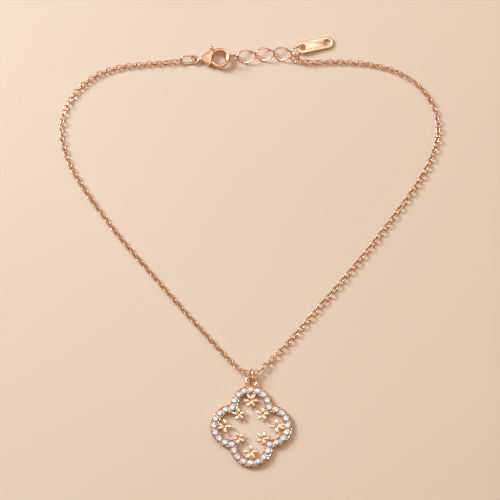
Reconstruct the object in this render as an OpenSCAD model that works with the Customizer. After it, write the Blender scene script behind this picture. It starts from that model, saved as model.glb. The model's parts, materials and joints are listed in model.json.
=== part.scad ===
// Necklace with a stone-set four leaf clover pendant, laid out flat in a loop.
// Millimetres. X runs to the right, Y away from the viewer, Z up off the surface.

/* [Stones] */
// Diameter of each round stone
stone_d = 2.1; // [1.8:0.05:2.5]
// Gap between neighbouring stones
stone_gap = 0.31; // [0.25:0.01:0.45]
// Stones round each leaf
stones_per_leaf = 7; // [5:2:9]
// Height of a stone's crown
crown_h = 0.32; // [0.25:0.01:0.4]
// Depth of a stone's pavilion
pavilion_h = 0.88; // [0.75:0.01:0.95]
// Thickness of a stone's girdle
girdle_h = 0.08; // [0.05:0.01:0.12]

/* [Setting] */
// Metal beyond the stones on each side
rim_w = 0.28; // [0.2:0.01:0.4]
// Height of the setting's wall
wall_h = 1.5; // [1.4:0.05:2]
// Width of the rail under the stones
rail_w = 2.2; // [1.9:0.05:2.4]
// Height of the rail under the stones
rail_h = 0.5; // [0.4:0.05:0.8]
// Diameter of a prong
prong_d = 0.56; // [0.45:0.01:0.62]
// Height of the prongs above the wall
prong_rise = 0.55; // [0.4:0.05:0.7]
// Wire of the loop on top
loop_wire = 0.9; // [0.7:0.05:1.1]
// Hole of the loop on top
loop_hole = 2.8; // [2.4:0.1:3.2]

/* [Flowers] */
// Reach of a petal in a leaf's flower
leaf_petal_l = 2.5; // [2.2:0.05:2.7]
// Reach of a petal in a notch's flower
notch_petal_l = 2.25; // [2:0.05:2.4]
// Width of a petal
petal_w = 0.95; // [0.8:0.05:1.1]
// Thickness of a petal
petal_h = 0.85; // [0.7:0.05:1]
// Height of the middle of the petals
petal_z = 1.2; // [1:0.05:1.3]

/* [Chain] */
// Wire of a chain link
link_wire = 0.42; // [0.36:0.01:0.46]
// Inner length of a chain link
link_inner_l = 1.95; // [1.9:0.05:2.2]
// Inner width of a chain link
link_inner_w = 1.16; // [1.05:0.01:1.3]

/* [Pendant ring] */
// Wire of the ring that carries the pendant
bail_wire = 0.5; // [0.4:0.05:0.6]
// Inner length of the ring that carries the pendant
bail_inner_l = 4.8; // [4.6:0.1:5.4]
// Inner width of the ring that carries the pendant
bail_inner_w = 3.2; // [3:0.1:3.8]
// Lean of that ring
bail_lean = 14; // [8:1:18]

/* [Clasp] */
// Thickness of the clasp's body
clasp_t = 2.2; // [2:0.05:2.6]
// Outer radius of the hook
hook_r = 3.7; // [3.4:0.05:4.1]
// Width of the hook's bar
hook_w = 1.15; // [1:0.05:1.3]
// Height of the hook's bar
hook_h = 1.7; // [1.5:0.05:2]
// From the middle of the eye to the middle of the hook
clasp_l = 9; // [8.8:0.1:10]
// Wire of the eye
eye_wire = 0.62; // [0.55:0.01:0.7]
// Hole of the eye
eye_hole = 2; // [1.9:0.05:2.3]
// Thickness of the lever
lever_t = 0.7; // [0.6:0.05:0.9]
// Diameter of the lever's pin
pin_d = 0.7; // [0.6:0.05:0.8]
// Opening angle of the lever
lever_swing = 22; // [15:1:24]

/* [Rings] */
// Wire of the clasp's ring
clasp_ring_wire = 0.55; // [0.5:0.01:0.6]
// Inner length of the clasp's ring
clasp_ring_inner_l = 4.7; // [4.1:0.1:5]
// Inner width of the clasp's ring
clasp_ring_inner_w = 2.5; // [2.4:0.1:3]
// Wire of the tag's ring and the end ring
end_wire = 0.5; // [0.45:0.01:0.55]
// Inner length of the tag's ring
tag_ring_inner_l = 4.25; // [4:0.05:5]
// Inner length of the end ring
end_ring_inner_l = 2.9; // [2.7:0.05:3.4]
// Inner width of the tag's ring and the end ring
end_inner_w = 2.4; // [2.3:0.05:2.7]

/* [Extender] */
// Wire of the extender's links
ext_wire = 0.55; // [0.5:0.01:0.6]
// Room lengthwise beside the hook's bar in the link that hangs in it
hook_room_l = 3.85; // [3.3:0.05:4.2]
// Room sideways beside the hook's bar in that link
hook_room_w = 2.55; // [2.5:0.05:2.9]
// Inner length of a twisted link
ext_inner_l = 6.7; // [6.2:0.1:7.5]
// Inner width of a twisted link
ext_inner_w = 4.1; // [3.8:0.1:4.4]
// Twist of a link from its middle to its end
ext_twist = 45; // [35:1:50]

/* [End tag] */
// Width of the tag
tag_w = 4.5; // [4.2:0.1:5.5]
// Distance between the tag's holes
tag_hole_gap = 9.3; // [8:0.1:12]
// Diameter of the tag's holes
tag_hole_d = 2.3; // [2.2:0.05:2.5]
// Thickness of the tag
tag_t = 0.9; // [0.7:0.05:1]
// Direction in which the tag points
tag_turn = 14; // [5:1:25]

/* [Hidden] */
// Clearance between linked wires, and of a piece in its seat
wire_gap = 0.12;
seat_gap = 0.04;
slot_gap = 0.1;
pin_gap = 0.03;
tiny = 0.01;

// Clover: the stones' row follows four leaves and one stone in each notch
leaf_sweep = 139;
notch_lean = 15.6;
stone_r = stone_d / 2;
stone_pitch = stone_d + stone_gap;
leaf_step = leaf_sweep / (stones_per_leaf - 1);
leaf_r = stone_pitch / 2 / sin(leaf_step / 2);
leaf_at = leaf_r * (sin(leaf_sweep / 2) - cos(leaf_sweep / 2))
    + stone_pitch * (cos(notch_lean) + sin(notch_lean));
notch_at = leaf_r * sin(leaf_sweep / 2) + stone_pitch * sin(notch_lean);
track_w = stone_r + rim_w;
stones_per_quarter = stones_per_leaf + 1;
stone_total = 4 * stones_per_quarter;
girdle_z = wall_h + 0.2;
prong_off = stone_r - 0.05;
prong_top = wall_h + prong_rise;
seat_r = stone_r + seat_gap;
seat_tip_r = 0.42;

// Flowers
leaf_inner = leaf_at + leaf_r - track_w;
leaf_flower_at = leaf_inner - 0.95 * leaf_petal_l;
notch_corner = notch_at - track_w * 0.9;
notch_flower_at = notch_corner - 0.45 * notch_petal_l;
hub_r = 0.62;
hub_h = 0.5;
flower_bar_w = 0.44;
flower_bar_h = 0.35;
petal_root = 0.22;
petal_rings = 6;
petal_sides = 6;
// Petals of the flowers in the top, a side and the bottom leaf and in a notch: the way that each points, and its
// share of the reach. Those beside a leaf's setting are longer, so that they meet it
top_petals = [[0, 1], [60, 1.1], [120, 1.1], [180, 1], [240, 1], [300, 1]];
side_petals = [[0, 1], [90, 1], [162, 1.1], [198, 1.1], [270, 1]];
bottom_petals = [[90, 1], [172, 1], [240, 1.1], [300, 1.1], [8, 1]];
notch_petals = [[0, 1], [72, 1], [144, 1], [216, 1], [288, 1]];

// Loop on top of the clover, and the ring through it
loop_at = leaf_at + leaf_r + track_w + loop_hole / 2;
loop_z = loop_wire / 2 + bail_wire + 2 * wire_gap;
bail_near = loop_at - loop_hole / 2 + wire_gap + bail_wire / 2;
bail_far = bail_near + bail_inner_l + bail_wire;
bail_slack = 0.95;
bail_z = bail_inner_w / 2 + bail_wire + 0.05;

// Chain links
link_pitch_max = link_inner_l - wire_gap;
wire_sides = 6;
curve_steps = 12;
lift_run = 9;
side_roll = 45;

// The link that hangs in the pendant's ring is the lowest point of the loop
pendant_link = [0.4, -46.4];
pendant_link_reach = (link_pitch_max - wire_gap) / 2;
pendant_link_z = bail_z - 0.2;
pendant_at = pendant_link - [0, bail_far - bail_wire / 2 - bail_slack - link_wire / 2];

// Chain from the pendant's ring up the left side to the clasp's ring
left_route = [
    [-2.6, -45.5], [-5.8, -42.8], [-11.9, -36.4], [-23.3, -23.6], [-35.1, -10], [-46.1, 3], [-55.6, 15.8],
    [-61.9, 25.5], [-65.4, 33], [-67.1, 40.3], [-66.8, 47.4], [-64.6, 53.5], [-60.4, 59.1],
    [-54.4, 63.6], [-46.9, 66.3], [-36.1, 67.7], [-28.5, 68.2], [-24.6, 68.6]
];
// Chain from the pendant's ring up the right side, short of the end ring
right_route = [
    [3.4, -45.4], [6.5, -42.3], [12.2, -36.3], [20.3, -27], [32.5, -12.7], [43.3, 0.6], [52, 12.2],
    [58.8, 21.7], [63.6, 30.2], [66.6, 38.4], [67, 45.3], [65, 52.8], [59.7, 59.9],
    [52.5, 64.7], [43.3, 67.4], [34.3, 68.3], [26, 68.3], [20.8, 68.1]
];

// Clasp's ring and clasp, placed on from the chain's end
clasp_ring_turn = 6;
clasp_ring_roll = 45;
clasp_ring_outer_half = (clasp_ring_inner_w + clasp_ring_wire) / 2;
clasp_ring_z = clasp_ring_outer_half * sin(clasp_ring_roll) + clasp_ring_wire / 2 + 0.03;
left_end = left_route[len(left_route) - 1];
clasp_turn = 1.5;
eye_in_ring = 0.2;
clasp_ring_near = left_end - (wire_gap + clasp_ring_wire) / 2 * toward(clasp_ring_turn);
clasp_ring_mean_l = clasp_ring_inner_l + clasp_ring_wire;
clasp_ring_far = clasp_ring_near + clasp_ring_mean_l * toward(clasp_ring_turn);
eye_at = clasp_ring_far - eye_in_ring * toward(clasp_turn);
eye_z = max(clasp_t / 2, clasp_ring_z - 0.2);
nose_in = clasp_l + hook_r - hook_w;
hook_link_inner_l = hook_w + hook_room_l;
hook_link_inner_w = hook_h + hook_room_w;
hook_link_roll = -44;
hook_link_half = (hook_link_inner_w + ext_wire) / 2;
hook_link_z = hook_link_half * sin(-hook_link_roll) + ext_wire / 2 + 0.01;
clasp_tilt = asin((hook_link_z + 0.025 - eye_z) / (nose_in + hook_w / 2));

// Parts of the clasp in its own frame, from the middle of its eye
hook_mid = [clasp_l, 0.15];
hook_mean_r = hook_r - hook_w / 2;
hook_from = -104;
hook_to = 122;
pivot_at = [clasp_l - 4.1, -1.45];
gate_reach = 3.85;
gate_gap = 0.12;
gate_from = -142;
barrel_r = 0.72;
knob_at = [clasp_l - 2.85, 4.15];
knob_r = 0.62;
stem_w = 0.75;
neck_x = 1.55;
neck_w = 1.1;
cheek_bevel = 0.4;

// Extender, link by link from the hook. The first twisted link hangs aside and low on the hook's link
hook_slack = 0.52;
hook_link_pitch_down = 1.1;
hook_link_near = clasp_point([nose_in - hook_slack - ext_wire / 2, hook_mid[1], 0]);
hook_link_mean_l = hook_link_inner_l + ext_wire;
hook_link_drop = hook_link_mean_l * sin(hook_link_pitch_down) / 2;
hook_link_a = [hook_link_near[0], hook_link_near[1], hook_link_z + hook_link_drop];
hook_link_b = [hook_link_near[0] + hook_link_mean_l, hook_link_near[1], hook_link_z - hook_link_drop];
hang_turn = 14;
hang_back = 0.23;
hang_at = [
    hook_link_b[0] - hook_link_half * (1 - cos(hang_turn)),
    hook_link_b[1] + hook_link_half * sin(hang_turn) * cos(hook_link_roll)
];
ext_half = (ext_inner_w + ext_wire) / 2;
ext_z = 0.375 * ext_half + ext_wire / 2 + 0.02;
ext_turns = [9, 6, -5];
ext_pitch = ext_inner_l - wire_gap;
ext_joint_1 = hang_at - (ext_wire / 2 + hang_back - wire_gap / 2) * toward(ext_turns[0]);
ext_joint_2 = ext_joint_1 + ext_pitch * toward(ext_turns[0]);
ext_joint_3 = ext_joint_2 + ext_pitch * toward(ext_turns[1]);
ext_joint_4 = ext_joint_3 + ext_pitch * toward(ext_turns[2]);
ext_joints = [ext_joint_1, ext_joint_2, ext_joint_3, ext_joint_4];
ext_rings = 36;

// Tag's ring and end ring: both hang in the last twisted link, the end ring higher up round its end
ext_end = ext_joint_4 + (ext_wire + wire_gap) / 2 * toward(ext_turns[2]);
end_half = (end_inner_w + end_wire) / 2;
tag_ring_roll = 46;
tag_ring_turn = 33;
tag_ring_slack = 0.285;
tag_ring_z = end_half * sin(tag_ring_roll) + end_wire / 2 + 0.01;
tag_ring_near = ext_end - ((ext_wire + end_wire) / 2 + tag_ring_slack) * toward(ext_turns[2]);
tag_ring_far = tag_ring_near + (tag_ring_inner_l + end_wire) * toward(tag_ring_turn);
end_ring_roll = 49;
end_ring_turn = -38;
end_ring_slack = 0.42;
end_ring_up = 16.8;
end_ring_rise = 3.3;
end_ring_side = ext_half * sin(end_ring_up);
end_ring_twist = ext_twist * cos(end_ring_up);
end_ring_near = ext_end - ((ext_wire + end_wire) / 2 + end_ring_slack) * toward(ext_turns[2])
    - [0, end_ring_side * cos(end_ring_twist)];
end_ring_near_z = ext_z + end_ring_side * sin(end_ring_twist);
end_ring_mean_l = end_ring_inner_l + end_wire;
end_ring_far = end_ring_near + end_ring_mean_l * cos(end_ring_rise) * toward(end_ring_turn);
end_ring_far_z = end_ring_near_z + end_ring_mean_l * sin(end_ring_rise);
right_end = end_ring_far - (wire_gap / 2 + end_wire / 2 + 0.05) * toward(end_ring_turn);

// Tag: its first hole round the ring, its other end down on the surface
tag_aside = 0.1;
tag_hole_1 = tag_ring_far + [0, tag_aside];
tag_end_r = tag_w / 2;
tag_tilt = asin((tag_ring_z - tag_t / 2) / (tag_hole_gap + tag_end_r));

left_chain = chain_line(concat([pendant_link - [pendant_link_reach, 0]], left_route));
right_chain = chain_line(concat([pendant_link + [pendant_link_reach, 0]], right_route, [right_end]));

metal = [0.87, 0.6, 0.45];
crystal = [0.88, 0.93, 0.98];

// Points and directions

function toward(turn) = [cos(turn), sin(turn)];

function spin2(p, turn) = [p[0] * cos(turn) - p[1] * sin(turn), p[0] * sin(turn) + p[1] * cos(turn)];

function nearest_half_turn(angle, reference) = angle - 180 * round((angle - reference) / 180);

// A point of the clasp's own frame, where the clasp lies
function clasp_point(p) =
    let (flat = spin2([p[0] * cos(clasp_tilt) - p[2] * sin(clasp_tilt), p[1]], clasp_turn))
    [eye_at[0] + flat[0], eye_at[1] + flat[1], eye_z + p[0] * sin(clasp_tilt) + p[2] * cos(clasp_tilt)];

// Catmull-Rom point between b and c
function curve_point(a, b, c, d, t) =
    (2 * b + (c - a) * t + (2 * a - 5 * b + 4 * c - d) * t * t + (3 * b - a - 3 * c + d) * t * t * t) / 2;

function curve_points(pts) =
    let (n = len(pts))
    concat(
        [for (i = [0 : n - 2], k = [0 : curve_steps - 1])
            curve_point(pts[max(i - 1, 0)], pts[i], pts[i + 1], pts[min(i + 2, n - 1)], k / curve_steps)],
        [pts[n - 1]]
    );

// The route as [length along it, x] and [length along it, y]
function chain_line(pts) =
    let (
        fine = curve_points(pts),
        run = [for (i = 0, s = 0; i < len(fine);
            s = s + (i < len(fine) - 1 ? norm(fine[i + 1] - fine[i]) : 0), i = i + 1) s]
    )
    [[for (i = [0 : len(fine) - 1]) [run[i], fine[i][0]]],
     [for (i = [0 : len(fine) - 1]) [run[i], fine[i][1]]],
     run[len(run) - 1]];

function fade(distance) = distance < lift_run ? (cos(180 * distance / lift_run) + 1) / 2 : 0;

// Height at which a link of this roll rests, and its neighbour too
function rest_z(roll) =
    (link_inner_w + link_wire) / 2 * max(abs(sin(roll)), abs(cos(roll))) + link_wire / 2;

// Stones and prongs of the clover

function leaf_stones(turn) =
    [for (k = [0 : stones_per_leaf - 1])
        spin2([leaf_at, 0] + leaf_r * toward(leaf_step * (k - (stones_per_leaf - 1) / 2)), turn)];

stone_row = [for (quarter = [0 : 3])
    each concat(leaf_stones(90 * quarter), [spin2([notch_at, notch_at], 90 * quarter)])];

prong_row = [for (i = [0 : stone_total - 1])
    let (
        a = stone_row[i],
        b = stone_row[(i + 1) % stone_total],
        side = spin2((b - a) / norm(b - a), 90)
    )
    each [(a + b) / 2 + prong_off * side, (a + b) / 2 - prong_off * side]];

function stone_name(i) = str("stone_", i < 9 ? "0" : "", i + 1);

// Small building blocks

// Oval ring lying flat, long along X; sides sets the wire's facets
module oval_ring(inner_l, inner_w, wire, sides) {
    bend = (inner_w + wire) / 2;
    reach = max((inner_l - inner_w) / 2, tiny);
    for (s = [-1, 1]) {
        translate([s * reach, 0, 0])
            rotate(-90 * s)
                rotate_extrude(angle = 180)
                    translate([bend, 0])
                        circle(d = wire, $fn = sides);
        translate([-reach, s * bend, 0])
            rotate([90, 0, 90])
                linear_extrude(2 * reach)
                    circle(d = wire, $fn = sides);
    }
}

// Places its child's X axis from a to b
module span_from(a, b, roll) {
    d = b - a;
    translate((a + b) / 2)
        rotate([roll, -atan2(d[2], norm([d[0], d[1]])), atan2(d[1], d[0])])
            children();
}

// Sweeps a faceted wire along a closed list of points
module closed_wire(path, ups, wire, sides) {
    n = len(path);
    points = [for (i = [0 : n - 1])
        let (
            ahead = path[(i + 1) % n] - path[(i + n - 1) % n],
            along = ahead / norm(ahead),
            out = ups[i] - (ups[i] * along) * along,
            u = out / norm(out),
            v = cross(along, u)
        )
        for (k = [0 : sides - 1])
            path[i] + wire / 2 * (cos(360 * k / sides) * u + sin(360 * k / sides) * v)];
    faces = [for (i = [0 : n - 1], k = [0 : sides - 1])
        let (j = (i + 1) % n, m = (k + 1) % sides)
        each [[i * sides + k, j * sides + k, j * sides + m],
              [i * sides + k, j * sides + m, i * sides + m]]];
    polyhedron(points, [for (f = faces) [f[0], f[2], f[1]]]);
}

// Pendant

module clover_outline(radius, corner) {
    for (quarter = [0 : 3])
        translate(spin2([leaf_at, 0], 90 * quarter)) circle(r = radius);
    polygon([for (quarter = [0 : 3])
        each [spin2([leaf_at, -radius], 90 * quarter),
              spin2([leaf_at, radius], 90 * quarter),
              spin2([corner, corner], 90 * quarter)]]);
}

module rail() {
    linear_extrude(rail_h)
        difference() {
            clover_outline(leaf_r + rail_w / 2, leaf_at);
            clover_outline(leaf_r - rail_w / 2, notch_at - rail_w / 2 * 0.9);
        }
}

module scalloped_wall() {
    translate([0, 0, rail_h / 2])
        linear_extrude(wall_h - rail_h / 2) {
            for (at = stone_row)
                translate(at) circle(r = track_w);
            for (at = prong_row)
                translate(at) circle(d = prong_d);
        }
}

module prong() {
    rotate_extrude()
        difference() {
            union() {
                square([prong_d / 2, prong_top - prong_d / 2]);
                translate([0, prong_top - prong_d / 2]) circle(d = prong_d);
            }
            translate([-prong_d, -prong_d]) square([prong_d, prong_top + 2 * prong_d]);
        }
}

// Hole under a stone: a straight bore at the girdle and a cone down to a small hole
module seat() {
    pavilion_low = girdle_z - pavilion_h - seat_gap;
    translate([0, 0, girdle_z - seat_gap]) cylinder(r = seat_r, h = wall_h);
    translate([0, 0, pavilion_low])
        cylinder(r1 = seat_tip_r, r2 = seat_r, h = pavilion_h + tiny);
    translate([0, 0, -tiny]) cylinder(r = seat_tip_r, h = pavilion_low + 2 * tiny);
}

// One petal along X: a teardrop of small facets
module petal(reach) {
    points = [for (i = [0 : petal_rings - 1])
        let (
            share = (i + 0.35) / (petal_rings - 0.3),
            along = petal_root + (reach - petal_root) * i / (petal_rings - 1),
            swell = sin(180 * pow(share, 0.85))
        )
        for (k = [0 : petal_sides - 1])
            [along,
             petal_w / 2 * swell * cos(360 * k / petal_sides + 90),
             petal_h / 2 * swell * sin(360 * k / petal_sides + 90)]];
    last = (petal_rings - 1) * petal_sides;
    faces = concat(
        [[for (k = [0 : petal_sides - 1]) k]],
        [[for (k = [petal_sides - 1 : -1 : 0]) last + k]],
        [for (i = [0 : petal_rings - 2], k = [0 : petal_sides - 1])
            let (a = i * petal_sides + k, b = i * petal_sides + (k + 1) % petal_sides)
            each [[a, a + petal_sides, b + petal_sides], [a, b + petal_sides, b]]]
    );
    polyhedron(points, faces);
}

module flower(at, reach, petals, turn) {
    translate([at[0], at[1], petal_z]) {
        for (one = petals)
            rotate(turn + one[0]) petal(reach * one[1]);
        translate([0, 0, -hub_h / 2 - 0.05]) cylinder(r = hub_r, h = hub_h);
    }
}

// Short bar that joins a flower to the setting
module flower_bar(from, to) {
    d = to - from;
    translate([from[0], from[1], petal_z - flower_bar_h])
        rotate(atan2(d[1], d[0]))
            translate([0, -flower_bar_w / 2, 0])
                cube([norm(d), flower_bar_w, flower_bar_h]);
}

module flowers() {
    flower([0, leaf_flower_at], leaf_petal_l, top_petals, 0);
    flower([0, -leaf_flower_at], leaf_petal_l, bottom_petals, 0);
    flower([-leaf_flower_at, 0], leaf_petal_l, side_petals, 0);
    flower([leaf_flower_at, 0], leaf_petal_l, side_petals, 180);
    for (sx = [-1, 1], sy = [-1, 1])
        flower([sx, sy] * notch_flower_at, notch_petal_l, notch_petals, 90 * sy + (sy > 0 ? -7 : 14) * sx);
    for (quarter = [0 : 3])
        flower_bar(spin2([leaf_flower_at, 0], 90 * quarter), spin2([leaf_inner + rim_w, 0], 90 * quarter));
    for (sx = [-1, 1], sy = [-1, 1])
        flower_bar([sx, sy] * notch_flower_at, [sx, sy] * (notch_corner + rim_w));
}

module top_loop() {
    translate([0, loop_at, loop_z])
        rotate_extrude()
            translate([(loop_hole + loop_wire) / 2, 0])
                circle(d = loop_wire);
}

module pendant_frame() {
    color(metal)
        translate([pendant_at[0], pendant_at[1], 0])
            difference() {
                union() {
                    rail();
                    scalloped_wall();
                    for (at = prong_row)
                        translate(at) prong();
                    flowers();
                    top_loop();
                }
                for (at = stone_row)
                    translate(at) seat();
            }
}

// Round brilliant: table, stars, kites and halves above, kites and halves below
module stone(i) {
    table_r = stone_r * 0.57;
    star_r = stone_r * 0.8;
    low_r = stone_r * 0.3;
    top_z = girdle_h / 2;
    table_z = top_z + crown_h;
    star_z = top_z + crown_h * (stone_r - star_r * cos(22.5)) / (stone_r - table_r);
    culet_z = -girdle_h / 2 - pavilion_h;
    low_z = culet_z + pavilion_h * low_r * cos(22.5) / stone_r;
    points = concat(
        [for (k = [0 : 7]) [table_r * cos(45 * k), table_r * sin(45 * k), table_z]],
        [for (k = [0 : 7]) [star_r * cos(45 * k + 22.5), star_r * sin(45 * k + 22.5), star_z]],
        [for (k = [0 : 15]) [stone_r * cos(22.5 * k), stone_r * sin(22.5 * k), top_z]],
        [for (k = [0 : 15]) [stone_r * cos(22.5 * k), stone_r * sin(22.5 * k), -girdle_h / 2]],
        [for (k = [0 : 7]) [low_r * cos(45 * k + 22.5), low_r * sin(45 * k + 22.5), low_z]],
        [[0, 0, culet_z]]
    );
    star = 8;
    upper = 16;
    lower = 32;
    low = 48;
    culet = 56;
    faces = concat(
        [[for (k = [7 : -1 : 0]) k]],
        [for (k = [0 : 7]) [k, (k + 1) % 8, star + k]],
        [for (k = [0 : 7]) [k, star + k, upper + 2 * k, star + (k + 7) % 8]],
        [for (k = [0 : 7]) each [
            [star + k, upper + 2 * k + 1, upper + 2 * k],
            [star + k, upper + (2 * k + 2) % 16, upper + 2 * k + 1]]],
        [for (k = [0 : 15]) [upper + k, upper + (k + 1) % 16, lower + (k + 1) % 16, lower + k]],
        [for (k = [0 : 7]) each [
            [low + k, lower + 2 * k, lower + 2 * k + 1],
            [low + k, lower + 2 * k + 1, lower + (2 * k + 2) % 16]]],
        [for (k = [0 : 7]) [culet, low + (k + 7) % 8, lower + 2 * k, low + k]]
    );
    at = stone_row[i];
    color(crystal)
        translate([pendant_at[0] + at[0], pendant_at[1] + at[1], girdle_z + girdle_h / 2])
            rotate(atan2(at[1], at[0]))
                polyhedron(points, faces);
}

module pendant_ring() {
    mid = pendant_at + [0, (bail_near + bail_far) / 2];
    color(metal)
        translate([mid[0], mid[1], bail_z])
            rotate([0, bail_lean, 0])
                rotate([90, 0, 90])
                    oval_ring(bail_inner_l, bail_inner_w, bail_wire, 48);
}

// Chain

module chain_link() {
    oval_ring(link_inner_l, link_inner_w, link_wire, wire_sides);
}

// Links along a route; end_height and end_roll are those of its last link
module chain_half(line, end_height, last_roll) {
    count = ceil(line[2] / link_pitch_max);
    pitch = line[2] / count;
    end_base = nearest_half_turn(last_roll - 90 * ((count - 1) % 2), 0);
    rolls = [[0, 0], [0.1, side_roll], [0.68, side_roll], [0.78, 0], [0.94, 0], [1, end_base]];
    function base(k) = lookup(k / count, rolls);
    function height(k) =
        let (rest = rest_z(base(k)))
        rest + (pendant_link_z - rest) * fade(k * pitch) + (end_height - rest) * fade((count - k) * pitch);
    function joint(k) = [lookup(k * pitch, line[0]), lookup(k * pitch, line[1]), height(k)];
    for (k = [0 : count - 1])
        span_from(joint(k), joint(k + 1), base(k + 0.5) + 90 * (k % 2))
            chain_link();
}

module chain_left() {
    color(metal) {
        translate([pendant_link[0], pendant_link[1], pendant_link_z])
            rotate([90, 0, 0])
                chain_link();
        chain_half(left_chain, clasp_ring_z, clasp_ring_roll - 90);
    }
}

module chain_right() {
    color(metal)
        chain_half(right_chain, end_ring_far_z, 90 - end_ring_roll);
}

// Clasp

module clasp_ring() {
    color(metal)
        span_from([clasp_ring_near[0], clasp_ring_near[1], clasp_ring_z],
                  [clasp_ring_far[0], clasp_ring_far[1], clasp_ring_z], clasp_ring_roll)
            oval_ring(clasp_ring_inner_l, clasp_ring_inner_w, clasp_ring_wire, 48);
}

module clasp_place() {
    translate([eye_at[0], eye_at[1], eye_z])
        rotate([0, 0, clasp_turn])
            rotate([0, -clasp_tilt, 0])
                children();
}

// Upright section of the hook's bar, round at both ends
module bar_section(w, h) {
    square([w, h - w], center = true);
    for (s = [-1, 1])
        translate([0, s * (h - w) / 2]) circle(d = w);
}

module hook_arc(from, to, w, h) {
    translate([hook_mid[0], hook_mid[1], 0])
        rotate(from)
            rotate_extrude(angle = to - from)
                translate([hook_mean_r, 0])
                    bar_section(w, h);
}

// Cheeks: a wedge from the neck to the hook
module cheek_outline() {
    polygon([
        [neck_x, neck_w / 2],
        hook_mid + hook_r * toward(120),
        hook_mid + [-1.9, 1.6],
        hook_mid + [-3.2, -1.3],
        pivot_at + [0.1, -0.95],
        [neck_x, -neck_w / 2]
    ]);
}

module cheeks() {
    hull() {
        linear_extrude(clasp_t - 2 * cheek_bevel, center = true) cheek_outline();
        linear_extrude(clasp_t, center = true) offset(delta = -cheek_bevel) cheek_outline();
    }
}

// Room for the lever's plate, over its whole swing
module lever_room() {
    stem = knob_at - pivot_at;
    stem_turn = atan2(stem[1], stem[0]);
    half = stem_w / 2 + slot_gap;
    far = norm(stem) + 1;
    translate([pivot_at[0], pivot_at[1], -lever_t / 2 - slot_gap])
        linear_extrude(lever_t + 2 * slot_gap) {
            circle(r = barrel_r + slot_gap);
            polygon([
                spin2([0, -half], stem_turn),
                spin2([far, -half], stem_turn),
                spin2([far, half], stem_turn + lever_swing),
                spin2([0, half], stem_turn + lever_swing)
            ]);
            polygon([[0, barrel_r + slot_gap], [gate_reach, barrel_r + slot_gap],
                     [gate_reach, -gate_reach], [0, -barrel_r - slot_gap]]);
        }
}

module clasp_body() {
    color(metal)
        clasp_place()
            difference() {
                union() {
                    difference() {
                        cheeks();
                        translate([hook_mid[0], hook_mid[1], -clasp_t])
                            cylinder(r = hook_r - hook_w, h = 2 * clasp_t);
                        lever_room();
                    }
                    difference() {
                        hook_arc(hook_from, hook_to, hook_w, hook_h);
                        translate([pivot_at[0], pivot_at[1], -clasp_t])
                            cylinder(r = gate_reach + gate_gap, h = 2 * clasp_t);
                    }
                    rotate_extrude()
                        translate([(eye_hole + eye_wire) / 2, 0])
                            circle(d = eye_wire);
                }
                translate([pivot_at[0], pivot_at[1], -clasp_t])
                    cylinder(d = pin_d + 2 * pin_gap, h = 2 * clasp_t);
            }
}

module clasp_pin() {
    color(metal)
        clasp_place()
            translate([pivot_at[0], pivot_at[1], -clasp_t / 2])
                cylinder(d = pin_d, h = clasp_t);
}

// Lever: gate that closes the hook, barrel on the pin, stem and thumb knob
module clasp_lever() {
    stem = knob_at - pivot_at;
    stem_turn = atan2(stem[1], stem[0]);
    gate_root = hook_mid + hook_mean_r * toward(gate_from) - pivot_at;
    color(metal)
        clasp_place()
            difference() {
                union() {
                    intersection() {
                        hook_arc(gate_from, hook_from + 20, hook_w, hook_h - 0.2);
                        translate([pivot_at[0], pivot_at[1], -clasp_t])
                            cylinder(r = gate_reach, h = 2 * clasp_t);
                    }
                    translate([pivot_at[0], pivot_at[1], -lever_t / 2])
                        linear_extrude(lever_t) {
                            circle(r = barrel_r);
                            polygon([[0, barrel_r - 0.1], gate_root + [0.5, 0.35],
                                     gate_root + [0.2, -0.45], [0, -barrel_r + 0.1]]);
                            rotate(stem_turn)
                                translate([0, -stem_w / 2])
                                    square([norm(stem), stem_w]);
                        }
                    translate([knob_at[0], knob_at[1], 0])
                        sphere(r = knob_r);
                }
                translate([pivot_at[0], pivot_at[1], -clasp_t])
                    cylinder(d = pin_d + 2 * pin_gap, h = 2 * clasp_t);
            }
}

// Extender

module extender_link_1() {
    color(metal)
        span_from(hook_link_a, hook_link_b, hook_link_roll)
            oval_ring(hook_link_inner_l, hook_link_inner_w, ext_wire, 48);
}

// Curb link: an oval whose ends are twisted opposite ways
module twisted_link(k) {
    a = (ext_inner_l + ext_wire) / 2;
    b = (ext_inner_w + ext_wire) / 2;
    path = [for (i = [0 : ext_rings - 1])
        let (t = 360 * i / ext_rings, roll = -ext_twist * cos(t))
        [a * cos(t), b * sin(t) * cos(roll), b * sin(t) * sin(roll)]];
    ups = [for (i = [0 : ext_rings - 1])
        let (t = 360 * i / ext_rings, roll = -ext_twist * cos(t))
        [0, -sin(roll), cos(roll)]];
    p = ext_joints[k];
    q = ext_joints[k + 1];
    color(metal)
        span_from([p[0], p[1], ext_z], [q[0], q[1], ext_z], 0)
            closed_wire(path, ups, ext_wire, wire_sides);
}

module extender_link_2() { twisted_link(0); }
module extender_link_3() { twisted_link(1); }
module extender_link_4() { twisted_link(2); }

// Tag and its rings

module tag_ring() {
    color(metal)
        span_from([tag_ring_near[0], tag_ring_near[1], tag_ring_z],
                  [tag_ring_far[0], tag_ring_far[1], tag_ring_z], tag_ring_roll)
            oval_ring(tag_ring_inner_l, end_inner_w, end_wire, 48);
}

module end_ring() {
    color(metal)
        span_from([end_ring_near[0], end_ring_near[1], end_ring_near_z],
                  [end_ring_far[0], end_ring_far[1], end_ring_far_z], end_ring_roll)
            oval_ring(end_ring_inner_l, end_inner_w, end_wire, 48);
}

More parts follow.
